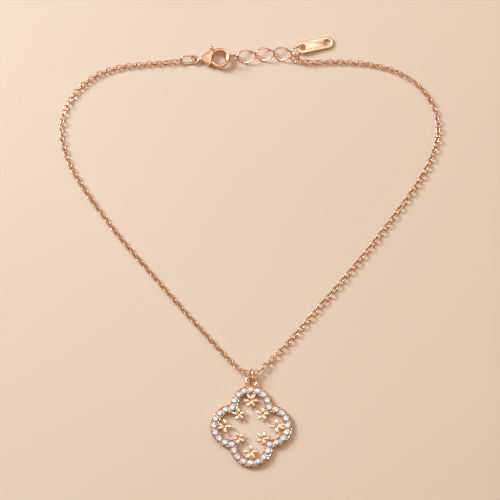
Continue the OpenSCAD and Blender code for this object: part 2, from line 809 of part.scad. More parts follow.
module end_tag() {
    color(metal)
        translate([tag_hole_1[0], tag_hole_1[1], tag_ring_z])
            rotate([0, 0, tag_turn])
                rotate([0, tag_tilt, 0])
                    difference() {
                        translate([0, 0, -tag_t / 2])
                            linear_extrude(tag_t) {
                                for (x = [0, tag_hole_gap])
                                    translate([x, 0]) circle(r = tag_end_r);
                                translate([0, -tag_end_r]) square([tag_hole_gap, tag_w]);
                            }
                        for (x = [0, tag_hole_gap])
                            translate([x, 0, -tag_t]) cylinder(d = tag_hole_d, h = 2 * tag_t);
                    }
}

pendant_frame();
pendant_ring();
chain_left();
chain_right();
clasp_ring();
clasp_body();
clasp_lever();
clasp_pin();
extender_link_1();
extender_link_2();
extender_link_3();
extender_link_4();
tag_ring();
end_ring();
end_tag();
for (i = [0 : stone_total - 1])
    stone(i);
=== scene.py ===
import json
import math
import bmesh
import bpy
import numpy as np
from mathutils import Matrix, Vector


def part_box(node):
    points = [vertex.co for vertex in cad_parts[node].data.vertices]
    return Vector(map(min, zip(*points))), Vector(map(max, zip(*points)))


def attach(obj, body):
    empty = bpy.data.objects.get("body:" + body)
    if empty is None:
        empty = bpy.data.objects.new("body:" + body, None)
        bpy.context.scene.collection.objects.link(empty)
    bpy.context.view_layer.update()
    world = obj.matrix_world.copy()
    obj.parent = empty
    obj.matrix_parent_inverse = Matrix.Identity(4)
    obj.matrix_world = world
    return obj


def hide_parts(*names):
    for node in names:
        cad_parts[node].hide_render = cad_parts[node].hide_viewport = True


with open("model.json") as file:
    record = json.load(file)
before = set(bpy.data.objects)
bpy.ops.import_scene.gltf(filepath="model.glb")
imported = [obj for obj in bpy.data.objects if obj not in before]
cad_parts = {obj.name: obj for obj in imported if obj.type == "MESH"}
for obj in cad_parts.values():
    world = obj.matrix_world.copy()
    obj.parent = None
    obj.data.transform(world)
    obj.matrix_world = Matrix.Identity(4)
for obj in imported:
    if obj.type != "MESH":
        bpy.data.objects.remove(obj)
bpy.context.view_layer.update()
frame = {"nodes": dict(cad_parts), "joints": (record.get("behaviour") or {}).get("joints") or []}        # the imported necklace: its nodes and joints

# Clover necklace laid in a loop on a pale table.
# Pieces are modelled in millimetres round their own middle, then settled at their place in metres.
mm = 0.001
necklace = "necklace"    # the body that lies still
lever = "clasp_lever"    # the body that the thumb moves
weld = 0.002    # millimetres: points closer than this are one


# Small helpers

def choose(*objs):
    if bpy.context.object and bpy.context.object.mode != "OBJECT":
        bpy.ops.object.mode_set(mode="OBJECT")
    bpy.ops.object.select_all(action="DESELECT")
    for obj in objs:
        obj.select_set(True)
    bpy.context.view_layer.objects.active = objs[0]


def editOn(obj):
    choose(obj)
    bpy.ops.object.mode_set(mode="EDIT")
    bpy.ops.mesh.select_mode(type="VERT")
    bpy.ops.mesh.select_all(action="DESELECT")


def editOff():
    bpy.ops.object.mode_set(mode="OBJECT")


def pickVerts(obj, rule):    # in edit mode, by the vertices' places
    form = bmesh.from_edit_mesh(obj.data)
    for vert in form.verts:
        vert.select = bool(rule(vert.co))
    form.select_flush_mode()
    bmesh.update_edit_mesh(obj.data)


def applyPlace(obj):
    choose(obj)
    bpy.ops.object.transform_apply(location=True, rotation=True, scale=True)


def applyModifier(obj, kind, **settings):
    choose(obj)
    modifier = obj.modifiers.new(kind.title(), kind)
    for key, value in settings.items():
        setattr(modifier, key, value)
    bpy.ops.object.modifier_apply(modifier=modifier.name)


def combine(obj, tool, how):    # how is UNION, DIFFERENCE or INTERSECT
    applyModifier(obj, "BOOLEAN", operation=how, object=tool, solver="EXACT")
    bpy.data.objects.remove(tool)


def roundEdges(obj, width, segments=3, angle=35):
    applyModifier(obj, "BEVEL", width=width, segments=segments, limit_method="ANGLE",
                  angle_limit=math.radians(angle))


def tidyMesh(obj):
    editOn(obj)
    bpy.ops.mesh.select_all(action="SELECT")
    bpy.ops.mesh.remove_doubles(threshold=weld)
    bpy.ops.mesh.normals_make_consistent(inside=False)
    editOff()


def copyOf(obj, place):
    twin = obj.copy()
    twin.data = obj.data.copy()
    bpy.context.scene.collection.objects.link(twin)
    twin.matrix_world = place
    return twin


def joinAll(objs):
    if len(objs) > 1:
        choose(*objs)
        bpy.ops.object.join()
    return objs[0]


def repeat(obj, places):    # one model, copied to each place and joined
    whole = joinAll([copyOf(obj, place) for place in places])
    bpy.data.objects.remove(obj)
    applyPlace(whole)
    return whole


def finish(obj, name, material, body, *nodes, place=Matrix(), angle=40):
    obj.name = obj.data.name = name
    obj.matrix_world = Matrix.Scale(mm, 4) @ place
    applyPlace(obj)
    bpy.ops.object.shade_smooth_by_angle(angle=math.radians(angle))
    obj.data.materials.clear()
    obj.data.materials.append(material)
    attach(obj, body)
    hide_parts(*nodes)
    print(f"{name}: {len(obj.data.polygons)} faces")


def turned(degrees):
    return Matrix.Rotation(math.radians(degrees), 4, "Z")


def toward(degrees, reach=1):
    return Vector((reach * math.cos(math.radians(degrees)), reach * math.sin(math.radians(degrees))))


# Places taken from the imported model

def cadSolids(node):    # the place and the size in millimetres of each loose solid in a node
    form = bmesh.new()
    form.from_mesh(frame["nodes"][node].data)
    bmesh.ops.remove_doubles(form, verts=form.verts[:], dist=weld * mm)
    form.verts.index_update()
    form.faces.index_update()
    solids = []
    seen = set()
    for first in form.verts:
        if first.index in seen:
            continue
        seen.add(first.index)
        waiting, faces = [first], set()
        while waiting:
            vert = waiting.pop()
            faces.update(vert.link_faces)
            for edge in vert.link_edges:
                other = edge.other_vert(vert)
                if other.index not in seen:
                    seen.add(other.index)
                    waiting.append(other)
        faces = sorted(faces, key=lambda face: face.index)
        solids.append(placeOfSolid(np.array([[v.co[:] for v in face.verts] for face in faces])))
    form.free()
    return solids


def placeOfSolid(corners):    # long side along X, broad side along Y, thin side along Z
    sides = np.cross(corners[:, 1] - corners[:, 0], corners[:, 2] - corners[:, 0])
    area = np.linalg.norm(sides, axis=1) / 2
    mids = corners.mean(axis=1)
    middle = (area[:, None] * mids).sum(axis=0) / area.sum()
    spread = corners - middle
    # A triangle's moment takes each of its corners once and its middle nine times
    moment = np.einsum("f,fvi,fvj->ij", area, spread, spread)
    moment += 9 * np.einsum("f,fi,fj->ij", area, mids - middle, mids - middle)
    axes = np.linalg.eigh(moment)[1]
    along = axes[:, 2] * (1 if axes[0, 2] >= 0 else -1)
    across = axes[:, 1] * (1 if axes[1, 1] >= 0 else -1)
    axes = np.stack([along, across, np.cross(along, across)], axis=1)
    reach = corners.reshape(-1, 3) @ axes
    low, high = reach.min(axis=0), reach.max(axis=0)
    place = Matrix(axes.tolist()).to_4x4()
    place.translation = Vector(axes @ ((low + high) / 2)) / mm
    return place, (high - low) / mm


# Materials

def addNode(tree, kind, **sockets):
    node = tree.nodes.new(kind)
    for key, value in sockets.items():
        node.inputs[key].default_value = value
    return node


def newMaterial(name):
    material = bpy.data.materials.new(name)
    material.use_nodes = True
    tree = material.node_tree
    shader = tree.nodes["Principled BSDF"]
    coords = tree.nodes.new("ShaderNodeTexCoord")
    return material, tree, shader, coords.outputs["Object"]


def noiseOn(tree, coords, scale, detail=2, stretch=None, turn=0):
    noise = addNode(tree, "ShaderNodeTexNoise", Scale=scale, Detail=detail)
    if stretch:
        mapping = tree.nodes.new("ShaderNodeMapping")
        mapping.inputs["Rotation"].default_value = (0, 0, math.radians(turn))
        mapping.inputs["Scale"].default_value = stretch
        tree.links.new(coords, mapping.inputs["Vector"])
        coords = mapping.outputs["Vector"]
    tree.links.new(coords, noise.inputs["Vector"])
    return noise.outputs["Fac"]


def rangeOf(tree, value, low, high):    # noise lies mostly between 0.3 and 0.7
    node = addNode(tree, "ShaderNodeMapRange",
                   **{"From Min": 0.3, "From Max": 0.7, "To Min": low, "To Max": high})
    tree.links.new(value, node.inputs["Value"])
    return node.outputs["Result"]


def coloursOf(tree, value, *stops):
    ramp = tree.nodes.new("ShaderNodeValToRGB")
    while len(ramp.color_ramp.elements) < len(stops):
        ramp.color_ramp.elements.new(0.5)
    for element, (at, colour) in zip(ramp.color_ramp.elements, stops):
        element.position = at
        element.color = (*colour, 1)
    tree.links.new(value, ramp.inputs["Fac"])
    return ramp.outputs["Color"]


def bumpFrom(tree, shader, height, strength, distance):
    bump = addNode(tree, "ShaderNodeBump", Strength=strength, Distance=distance)
    tree.links.new(height, bump.inputs["Height"])
    tree.links.new(bump.outputs["Normal"], shader.inputs["Normal"])


# Rose gold: its tones from dull to bright, and its gloss as the least and the most roughness
deepGold = ((0.87, 0.49, 0.29), (0.92, 0.57, 0.37), (0.95, 0.63, 0.45))
# A paler copy of the rose gold for the petals and the satin tag: painted highlight, as their tops and flat
# face catch more light
paintedLitGold = ((0.92, 0.6, 0.42), (0.96, 0.68, 0.5), (0.98, 0.74, 0.58))
toneStops = (0.3, 0.55, 0.75)
wear = {"scale": 500, "detail": 3}
fineMarks = {"scale": 1400}
brushedMarks = {"scale": 500, "stretch": (0.1, 3, 3), "turn": -14}
markDepth = 0.00002
# Each finish: its tones, gloss and marks. The pale tones of the petals and the satin tag are painted
# highlight; the gloss and marks are their own.
goldFinishesAndPaintedLight = {
    "rose_gold_polished": {"tones": deepGold, "gloss": (0.08, 0.17), "marks": fineMarks, "ripple": 0.04},
    "rose_gold_chain": {"tones": deepGold, "gloss": (0.13, 0.24), "marks": fineMarks, "ripple": 0.04},
    "rose_gold_petals_painted_highlight": {"tones": paintedLitGold, "gloss": (0.2, 0.3), "marks": fineMarks, "ripple": 0.04},
    "rose_gold_satin_painted_highlight": {"tones": paintedLitGold, "gloss": (0.26, 0.36), "marks": brushedMarks, "ripple": 0.02},
}


def roseGold(name):
    look = goldFinishesAndPaintedLight[name]
    material, tree, shader, coords = newMaterial(name)
    shader.inputs["Metallic"].default_value = 1
    worn = noiseOn(tree, coords, **wear)
    colour = coloursOf(tree, worn, *zip(toneStops, look["tones"]))
    tree.links.new(colour, shader.inputs["Base Color"])
    marks = noiseOn(tree, coords, **look["marks"])
    tree.links.new(rangeOf(tree, marks, *look["gloss"]), shader.inputs["Roughness"])
    bumpFrom(tree, shader, marks, look["ripple"], markDepth)
    return material


# How finely the facets and the cells split the tints, and the cells' share in picking one. The tints are
# painted reflections and sparkle, light and dark, as a cut stone gives back from inside.
gem = {
    "roughness": 0.03, "ior": 2.2, "clear": 0.12, "paintedSparkleFacets": 2.3, "cells": 2100, "share": 0.65,
    "paintedSparkleTints": ((0.2, (0.42, 0.54, 0.75)), (0.4, (0.6, 0.73, 0.88)), (0.6, (0.72, 0.82, 0.92)),
              (0.8, (0.85, 0.92, 0.97))),
}


def cutStone(name):    # painted reflections: each facet gets its own light or dark tint, by the way that it faces, mixed with painted sparkle in small cells
    material, tree, shader, coords = newMaterial(name)
    faces = tree.nodes.new("ShaderNodeNewGeometry")
    bigger = tree.nodes.new("ShaderNodeVectorMath")
    bigger.operation = "SCALE"
    bigger.inputs["Scale"].default_value = gem["paintedSparkleFacets"]
    steps = tree.nodes.new("ShaderNodeVectorMath")
    steps.operation = "FLOOR"
    pick = tree.nodes.new("ShaderNodeTexWhiteNoise")
    tree.links.new(faces.outputs["True Normal"], bigger.inputs[0])
    tree.links.new(bigger.outputs[0], steps.inputs[0])
    tree.links.new(steps.outputs[0], pick.inputs["Vector"])
    cells = addNode(tree, "ShaderNodeTexVoronoi", Scale=gem["cells"])
    tree.links.new(coords, cells.inputs["Vector"])
    parts = tree.nodes.new("ShaderNodeSeparateColor")
    tree.links.new(cells.outputs["Color"], parts.inputs["Color"])
    blend = addNode(tree, "ShaderNodeMix", Factor=gem["share"])
    tree.links.new(pick.outputs["Value"], blend.inputs["A"])
    tree.links.new(parts.outputs["Red"], blend.inputs["B"])
    colour = coloursOf(tree, blend.outputs["Result"], *gem["paintedSparkleTints"])
    tree.links.new(colour, shader.inputs["Base Color"])
    shader.inputs["Roughness"].default_value = gem["roughness"]
    shader.inputs["IOR"].default_value = gem["ior"]
    shader.inputs["Transmission Weight"].default_value = gem["clear"]
    return material


gold = roseGold("rose_gold_polished")
chainGold = roseGold("rose_gold_chain")
petalGold = roseGold("rose_gold_petals_painted_highlight")
tagGold = roseGold("rose_gold_satin_painted_highlight")
print("materials ready")


# Stones: the CAD's own cut stays, and gets a clear stone's look, with its reflections and sparkle painted
# into the colour

def dressStones():
    crystal = cutStone("clear_cut_stone")
    for name, obj in frame["nodes"].items():
        if name.startswith("stone_"):
            obj.data.materials.clear()
            obj.data.materials.append(crystal)


dressStones()
print("stones dressed")


# Clover setting

setting = {    # widths are from the middle of the row of stones
    "rimW": 1.33, "rimTop": 1.6, "rimRound": ((0, -0.08), (-0.04, -0.02), (-0.1, 0)),
    "lipW": 0.22, "lipRound": (0.05, -0.03), "plateTop": 1.46, "plateLow": 1.0,
    "valleyW": 0.3, "valley": 1.3, "waistW": 0.72, "waistLow": 0.08, "waistHigh": 0.06,
    "railW": 1.1, "railTop": 0.45, "edge": 0.1, "leafSteps": 44, "notchSteps": 8,
}
cup = {"low": 0.35, "lowR": 0.78, "top": 1.15, "topR": 1.16, "sides": 24}
seat = {"holeR": 0.42, "low": -0.2, "tip": 0.78, "girdle": 1.64, "r": 1.09, "high": 3, "sides": 24}
bead = {"r": 0.29, "off": 0.97, "top": 2.05, "low": 1.35, "sides": 12, "rings": 8}
loop = {"hole": 2.8, "wire": 0.9, "z": 1.19, "around": 48, "wireSides": 16}

stoneNodes = sorted(name for name in frame["nodes"] if name.startswith("stone_"))
stoneSpots = [(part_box(name)[0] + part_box(name)[1]).xy / (2 * mm) for name in stoneNodes]
cloverMid = sum(stoneSpots, Vector((0, 0))) / len(stoneSpots)
stoneSpots = [spot - cloverMid for spot in stoneSpots]
cloverPlace = Matrix.Translation(cloverMid.to_3d())

# The row runs round four leaf circles, joined by a tighter bend about each notch
quarterLen = len(stoneSpots) // 4
leafFirst, leafTip, notchStone = stoneSpots[0], stoneSpots[quarterLen // 2 - 1], stoneSpots[quarterLen - 1]
leafAt = (leafTip.x ** 2 - leafFirst.length_squared) / (2 * (leafTip.x - leafFirst.x))
leafR = leafTip.x - leafAt
root2 = math.sqrt(2)
notchFar = notchStone.length
bendR = (leafR ** 2 - leafAt ** 2 - notchFar ** 2 + root2 * leafAt * notchFar) / (
    2 * notchFar - root2 * leafAt - 2 * leafR)
bendAt = (notchFar + bendR) / root2
leafTurn = math.atan2(bendAt, bendAt - leafAt)
rowSteps = 4 * (setting["leafSteps"] + setting["notchSteps"])


def rowPoint(step, out):    # a point beside the row of stones, "out" from it, away from the middle
    quarter, place = divmod(step % rowSteps, setting["leafSteps"] + setting["notchSteps"])
    reach = leafR + out
    last = leafTurn if out < bendR else math.pi / 4 + math.asin(leafAt / (root2 * reach))
    if place < setting["leafSteps"]:
        angle = last * (2 * place / (setting["leafSteps"] - 1) - 1)
        spot = Vector((leafAt + reach * math.cos(angle), reach * math.sin(angle)))
    elif out < bendR:
        share = (place - setting["leafSteps"] + 1) / (setting["notchSteps"] + 1)
        angle = leafTurn + math.pi + share * (math.pi / 2 - 2 * leafTurn)
        spot = Vector((bendAt + (bendR - out) * math.cos(angle), bendAt + (bendR - out) * math.sin(angle)))
    else:
        spot = Vector((leafAt + reach * math.cos(last), reach * math.sin(last)))
    return turned(90 * quarter).to_2x2() @ spot


def modelBand():    # rail, waist and stone plate, swept round the clover
    s = setting
    half = [    # out from the row, and up, from the rail's foot to the dip between the stones
        (s["railW"] - s["edge"], 0), (s["railW"], s["edge"]), (s["railW"], s["railTop"] - s["edge"]),
        (s["railW"] - s["edge"], s["railTop"]), (s["waistW"], s["railTop"] + s["waistLow"]),
        (s["waistW"], s["plateLow"] - s["waistHigh"]), (s["rimW"] - s["edge"], s["plateLow"]),
        (s["rimW"], s["plateLow"] + s["edge"]),
        *[(s["rimW"] + out, s["rimTop"] + up) for out, up in s["rimRound"]],
        (s["rimW"] - s["lipW"] + s["lipRound"][0], s["rimTop"] + s["lipRound"][1]),
        (s["rimW"] - s["lipW"], s["plateTop"]), (s["valleyW"], s["valley"]),
    ]
    section = half + [(-out, z) for out, z in reversed(half)]
    bpy.ops.mesh.primitive_grid_add(x_subdivisions=rowSteps, y_subdivisions=len(section), size=1)
    band = bpy.context.object
    for vert in band.data.vertices:
        out, z = section[round((vert.co.y + 0.5) * len(section)) % len(section)]
        vert.co = (*rowPoint(round((vert.co.x + 0.5) * rowSteps), out), z)
    tidyMesh(band)
    return band


def modelSeatCutter():    # straight bore at the girdle, cone below, small hole through the rail
    bpy.ops.mesh.primitive_circle_add(vertices=seat["sides"], radius=seat["holeR"], fill_type="NGON",
                                      location=(0, 0, seat["low"]))
    cutter = bpy.context.object
    applyPlace(cutter)
    editOn(cutter)
    bpy.ops.mesh.select_all(action="SELECT")
    z = seat["low"]
    for level, widen in ((seat["tip"], 1), (seat["girdle"], seat["r"] / seat["holeR"]), (seat["high"], 1)):
        bpy.ops.mesh.extrude_region_move(TRANSFORM_OT_translate={"value": (0, 0, level - z)})
        bpy.ops.transform.resize(value=(widen, widen, 1), center_override=(0, 0, level))
        z = level
    editOff()
    tidyMesh(cutter)
    return cutter


def modelBead():    # a rounded claw, with its lower half drawn down to a short post
    bpy.ops.mesh.primitive_uv_sphere_add(segments=bead["sides"], ring_count=bead["rings"], radius=bead["r"])
    claw = bpy.context.object
    editOn(claw)
    pickVerts(claw, lambda co: co.z < -0.02)
    drop = bead["top"] - bead["r"] - bead["low"]
    bpy.ops.transform.translate(value=(0, 0, -drop))
    bpy.ops.mesh.select_all(action="SELECT")
    bpy.ops.transform.translate(value=(0, 0, bead["top"] - bead["r"]))
    editOff()
    return claw


def makeSetting():
    band = modelBand()
    bpy.ops.mesh.primitive_cone_add(vertices=cup["sides"], radius1=cup["lowR"], radius2=cup["topR"],
                                    depth=cup["top"] - cup["low"],
                                    location=(0, 0, (cup["top"] + cup["low"]) / 2))
    oneCup = bpy.context.object
    applyPlace(oneCup)
    spots = [Matrix.Translation(spot.to_3d()) for spot in stoneSpots]
    combine(band, repeat(oneCup, spots), "UNION")
    loopAt = leafAt + leafR + setting["rimW"] + loop["hole"] / 2
    bpy.ops.mesh.primitive_torus_add(major_radius=(loop["hole"] + loop["wire"]) / 2,
                                     minor_radius=loop["wire"] / 2, major_segments=loop["around"],
                                     minor_segments=loop["wireSides"], location=(0, loopAt, loop["z"]))
    topLoop = bpy.context.object
    applyPlace(topLoop)
    combine(band, topLoop, "UNION")
    combine(band, repeat(modelSeatCutter(), spots), "DIFFERENCE")
    finish(band, "clover_setting", gold, necklace, "pendant_frame", place=cloverPlace, angle=32)

    posts = []
    for i, spot in enumerate(stoneSpots):
        after = stoneSpots[(i + 1) % len(stoneSpots)]
        along = (after - spot).normalized()
        for side in (-1, 1):
            off = Vector((-along.y, along.x)) * side * bead["off"]
            posts.append(Matrix.Translation(((spot + after) / 2 + off).to_3d()))
    finish(repeat(modelBead(), posts), "bead_prongs", gold, necklace, "pendant_frame",
           place=cloverPlace, angle=80)


makeSetting()
print("clover setting modelled")


# Flowers inside the clover

# How far the petals reach, how far the flower's middle lies in from the leaf's wall, or from the
# notch stone along X and along Y, and how far its bar goes into the wall
leafFlower = {"reach": 2.5, "in": 2.375, "barInto": 0.3}
notchFlower = {"reach": 2.25, "in": 2.21, "barInto": 0.35, "turns": (83, 97, 256, 284)}
petal = {
    "w": 1.36, "h": 0.72, "root": 0.26, "z": 1.36, "flat": 0.1, "belly": 0.8,
    "widths": ((0.8, 1.28), (0.9, 1.22), (0.35, 0.92), (0.2, 0.8)),    # share of the length, and widening
}
hub = {"r": 0.56, "h": 0.5, "drop": 0.14, "dent": 0.2, "dentShare": 0.45}
bar = {"w": 0.36, "h": 0.3, "top": 1.16, "edge": 0.06}
# The way that each petal points, from the flower's own turn, and its share of the reach
topPetals = ((0, 1), (60, 1.1), (120, 1.1), (180, 1), (240, 1), (300, 1))
sidePetals = ((0, 1), (90, 1), (162, 1.1), (198, 1.1), (270, 1))
bottomPetals = ((90, 1), (172, 1), (240, 1.1), (300, 1.1), (8, 1))
notchPetals = ((0, 1), (72, 1), (144, 1), (216, 1), (288, 1))
leafFlowers = ((sidePetals, 180), (topPetals, 0), (sidePetals, 0), (bottomPetals, 0))    # with their turns


def modelPetal(reach):    # teardrop with a soft ridge along its back
    bpy.ops.mesh.primitive_uv_sphere_add(segments=8, ring_count=8, radius=1, rotation=(0, math.pi / 2, 0))
    leaf = bpy.context.object
    applyPlace(leaf)
    length = reach - petal["root"]
    editOn(leaf)
    bpy.ops.mesh.select_all(action="SELECT")
    bpy.ops.transform.resize(value=(length / 2, petal["w"] / 2, petal["h"] / 2), center_override=(0, 0, 0))
    bpy.ops.transform.translate(value=(petal["root"] + length / 2, 0, 0))
    for share, widen in petal["widths"]:    # blunt tip, slim root
        way = 1 if share > 0.5 else -1
        pickVerts(leaf, lambda co: way * (co.x - petal["root"]) / length > way * share)
        bpy.ops.transform.resize(value=(1, widen, 0.5 + widen / 2), center_override=(0, 0, 0))
    pickVerts(leaf, lambda co: co.z < -0.01)
    bpy.ops.transform.resize(value=(1, 1, petal["belly"]), center_override=(0, 0, 0))
    pickVerts(leaf, lambda co: abs(co.y) < 0.01 and co.z > 0.12)
    bpy.ops.transform.translate(value=(0, 0, -petal["flat"]))
    editOff()
    applyModifier(leaf, "SUBSURF", levels=2, render_levels=2)
    return leaf


def modelFlower(middle, reach, petals, turn):
    places = [Matrix.Translation(middle) @ turned(turn + away) @ Matrix.Diagonal((share, 1, 1, 1))
              for away, share in petals]
    petals = repeat(modelPetal(reach), places)
    bpy.ops.mesh.primitive_uv_sphere_add(segments=16, ring_count=8, radius=hub["r"])
    centre = bpy.context.object
    editOn(centre)
    bpy.ops.mesh.select_all(action="SELECT")
    bpy.ops.transform.resize(value=(1, 1, hub["h"] / 2 / hub["r"]), center_override=(0, 0, 0))
    bpy.ops.transform.translate(value=middle - Vector((0, 0, hub["drop"])))
    pickVerts(centre, lambda co: co.z > middle.z - hub["drop"]
              and (co.xy - middle.xy).length < hub["r"] * hub["dentShare"])
    bpy.ops.transform.translate(value=(0, 0, -hub["dent"]))
    editOff()
    return joinAll([petals, centre])


def modelBar(start, end):
    span = end - start
    bpy.ops.mesh.primitive_cube_add(size=1, scale=(span.length, bar["w"], bar["h"]),
                                    location=(*((start + end) / 2), bar["top"] - bar["h"] / 2),
                                    rotation=(0, 0, math.atan2(span.y, span.x)))
    stay = bpy.context.object
    applyPlace(stay)
    roundEdges(stay, bar["edge"], 2)
    return stay


def makeFlowers():
    leafOut = leafAt + leafR - setting["rimW"] - leafFlower["in"]
    notchOut = notchStone.x - notchFlower["in"]
    made = []
    for quarter, (petals, turn) in enumerate(leafFlowers):
        away = toward(90 * quarter)
        middle = (away * leafOut).to_3d() + Vector((0, 0, petal["z"]))
        made.append(modelFlower(middle, leafFlower["reach"], petals, turn))
        made.append(modelBar(away * leafOut, away * (leafOut + leafFlower["in"] + leafFlower["barInto"])))
    for quarter, turn in enumerate(notchFlower["turns"]):
        away = toward(45 + 90 * quarter)
        middle = (away * notchOut * root2).to_3d() + Vector((0, 0, petal["z"]))
        made.append(modelFlower(middle, notchFlower["reach"], notchPetals, turn))
        barEnd = notchFar - setting["rimW"] + notchFlower["barInto"]
        made.append(modelBar(away * notchOut * root2, away * barEnd))
    flowers = joinAll(made)
    finish(flowers, "clover_flowers", petalGold, necklace, "pendant_frame", place=cloverPlace, angle=50)


makeFlowers()
print("flowers modelled")


# Rings and chain

# The slit is beside the top of the ring, turned by slitTurn, in radians
ringShape = {"around": 40, "wireSides": 16, "slit": 0.05, "slitAt": 0.12, "slitTurn": 0.25}
linkShape = {"wire": 0.42, "around": 20, "wireSides": 8}
twisted = {"long": 7.25, "broad": 4.65, "wire": 0.51, "twist": 45, "wireRound": 5, "steps": 14}


def modelRing(outerL, outerW, wire, around, wireSides):    # round ring pulled long
    bpy.ops.mesh.primitive_torus_add(major_radius=(outerW - wire) / 2, minor_radius=wire / 2,
                                     major_segments=around, minor_segments=wireSides)
    ring = bpy.context.object
    editOn(ring)
    for side in (1, -1):
        pickVerts(ring, lambda co: co.x * side > 0.01)
        bpy.ops.transform.translate(value=(side * (outerL - outerW) / 2, 0, 0))
    editOff()
    return ring


def cutSlit(ring, outerW, wire):    # where a jump ring's ends meet
    bpy.ops.mesh.primitive_cube_add(size=1, scale=(ringShape["slit"], 2 * wire, 2 * wire),
                                    location=(ringShape["slitAt"], (outerW - wire) / 2, 0),
                                    rotation=(0, 0, ringShape["slitTurn"]))
    blade = bpy.context.object
    applyPlace(blade)
    combine(ring, blade, "DIFFERENCE")


def makeRing(node, name, hasSlit):
    place, size = cadSolids(node)[0]
    ring = modelRing(size[0], size[1], size[2], ringShape["around"], ringShape["wireSides"])
    if hasSlit:
        cutSlit(ring, size[1], size[2])
    finish(ring, name, gold, necklace, node, place=place)


def makeChain(node, name):
    solids = cadSolids(node)
    size = solids[0][1]
    link = modelRing(size[0], size[1], linkShape["wire"], linkShape["around"], linkShape["wireSides"])
    finish(repeat(link, [place for place, _ in solids]), name, chainGold, necklace, node, angle=60)


def makeTwistedLink(node, name):
    place = cadSolids(node)[0][0]
    bpy.ops.curve.primitive_bezier_circle_add(radius=1)
    link = bpy.context.object
    link.data.bevel_depth = twisted["wire"] / 2
    link.data.bevel_resolution = twisted["wireRound"]
    link.data.resolution_u = twisted["steps"]
    bpy.ops.object.mode_set(mode="EDIT")
    bpy.ops.curve.select_all(action="SELECT")
    bpy.ops.transform.resize(value=(twisted["long"] / 2, twisted["broad"] / 2, 1),
                             center_override=(0, 0, 0))
    editOff()
    bpy.ops.object.convert(target="MESH")
    link = bpy.context.object
    grow = 1 + twisted["wire"] / twisted["long"]
    applyModifier(link, "SIMPLE_DEFORM", deform_method="TWIST", deform_axis="X",
                  angle=math.radians(-2 * twisted["twist"] * grow))
    tidyMesh(link)
    finish(link, name, gold, necklace, node, place=place, angle=60)


makeRing("pendant_ring", "pendant_bail", False)
makeRing("clasp_ring", "clasp_jump_ring", True)
makeRing("extender_link_1", "hook_link", True)
makeRing("tag_ring", "tag_jump_ring", True)
makeRing("end_ring", "end_jump_ring", True)
for k in (2, 3, 4):
    makeTwistedLink(f"extender_link_{k}", f"twisted_link_{k - 1}")
makeChain("chain_left", "left_chain")
makeChain("chain_right", "right_chain")
print("rings and chains modelled")


# End tag

tag = {
    "w": 4.5, "holeGap": 9.3, "holeD": 2.3, "t": 0.9, "edge": 0.13, "around": 64,
    "holeAround": 48, "drill": 3,
}


def makeTag():
    bpy.ops.mesh.primitive_cylinder_add(vertices=tag["around"], radius=tag["w"] / 2, depth=tag["t"],
                                        rotation=(0, 0, math.pi / tag["around"]))
    plate = bpy.context.object
    applyPlace(plate)
    editOn(plate)
    for side in (1, -1):
        pickVerts(plate, lambda co: co.x * side > 0)
        bpy.ops.transform.translate(value=(side * tag["holeGap"] / 2, 0, 0))
    editOff()
    for side in (1, -1):
        bpy.ops.mesh.primitive_cylinder_add(vertices=tag["holeAround"], radius=tag["holeD"] / 2,
                                            depth=tag["drill"], location=(side * tag["holeGap"] / 2, 0, 0))
        drill = bpy.context.object
        applyPlace(drill)
        combine(plate, drill, "DIFFERENCE")
    tidyMesh(plate)
    roundEdges(plate, tag["edge"])
    finish(plate, "end_tag_plate", tagGold, necklace, "end_tag", place=cadSolids("end_tag")[0][0], angle=25)


makeTag()
print("tag modelled")


# Clasp, in its own frame: X from the middle of its eye towards the nose, Z off the table

# The rim is the metal between the S-shaped edge and the opening, with a fine raised line on it.
# The gate is the bar that shuts the hook, and its arm and stem join it to the pin and the knob.
clasp = {
    "turn": 1.5, "pivot": (4.9, -1.45), "thick": 2.2, "baseH": 1.5, "baseEdge": 0.2, "neck": (1.4, 0.5),
    "hookMid": (9, 0.15), "hookR": 3.7, "hookW": 1.15, "hookH": 1.7, "hookEdge": 0.36,
    "hookFrom": -104, "hookTo": 126, "hookMeets": 112, "hookOverlap": 0.03, "rim": 0.34,
    "lineR": 0.13, "lineZ": 0.9, "cheekSink": 0.35, "cheekEdge": 0.42, "cheekIn": 0.08,
    "eyeHole": 2, "eyeWire": 0.62,
}
thumb = {
    "t": 0.7, "slot": 0.9, "barrelR": 0.72, "swing": 22, "room": 1, "gateFrom": -144, "gateTo": -84,
    "gateH": 1.5, "gateEdge": 0.3, "gateReach": 3.85, "gateGap": 0.12, "armHalf": 0.62,
    "armRoot": ((0.2, -0.45), (0.5, 0.35)), "stemW": 0.75, "stemEdge": 0.08,
    "knob": (6.15, 4.15), "knobR": 0.6, "knobLong": 1.3,
}
pinShape = {"r": 0.35, "hole": 0.38, "edge": 0.09}
through = 4    # height of what cuts right through the clasp


def claspPlace():
    joint = frame["joints"][0]
    up = Vector(joint["axis"]).normalized()
    ahead = toward(clasp["turn"]).to_3d()
    ahead = (ahead - ahead.dot(up) * up).normalized()
    aside = up.cross(ahead)
    place = Matrix((ahead, aside, up)).transposed().to_4x4()
    pivot = clasp["pivot"]
    place.translation = Vector(joint["pos_m"]) / mm - (ahead * pivot[0] + aside * pivot[1])
    return place


def modelPlate(outline, low, high):    # flat plate with this outline, in plan
    bpy.ops.mesh.primitive_circle_add(vertices=len(outline), fill_type="NGON")
    plate = bpy.context.object
    for vert, spot in zip(plate.data.vertices, outline):
        vert.co = (spot[0], spot[1], low)
    editOn(plate)
    bpy.ops.mesh.select_all(action="SELECT")
    bpy.ops.mesh.extrude_region_move(TRANSFORM_OT_translate={"value": (0, 0, high - low)})
    editOff()
    tidyMesh(plate)
    return plate


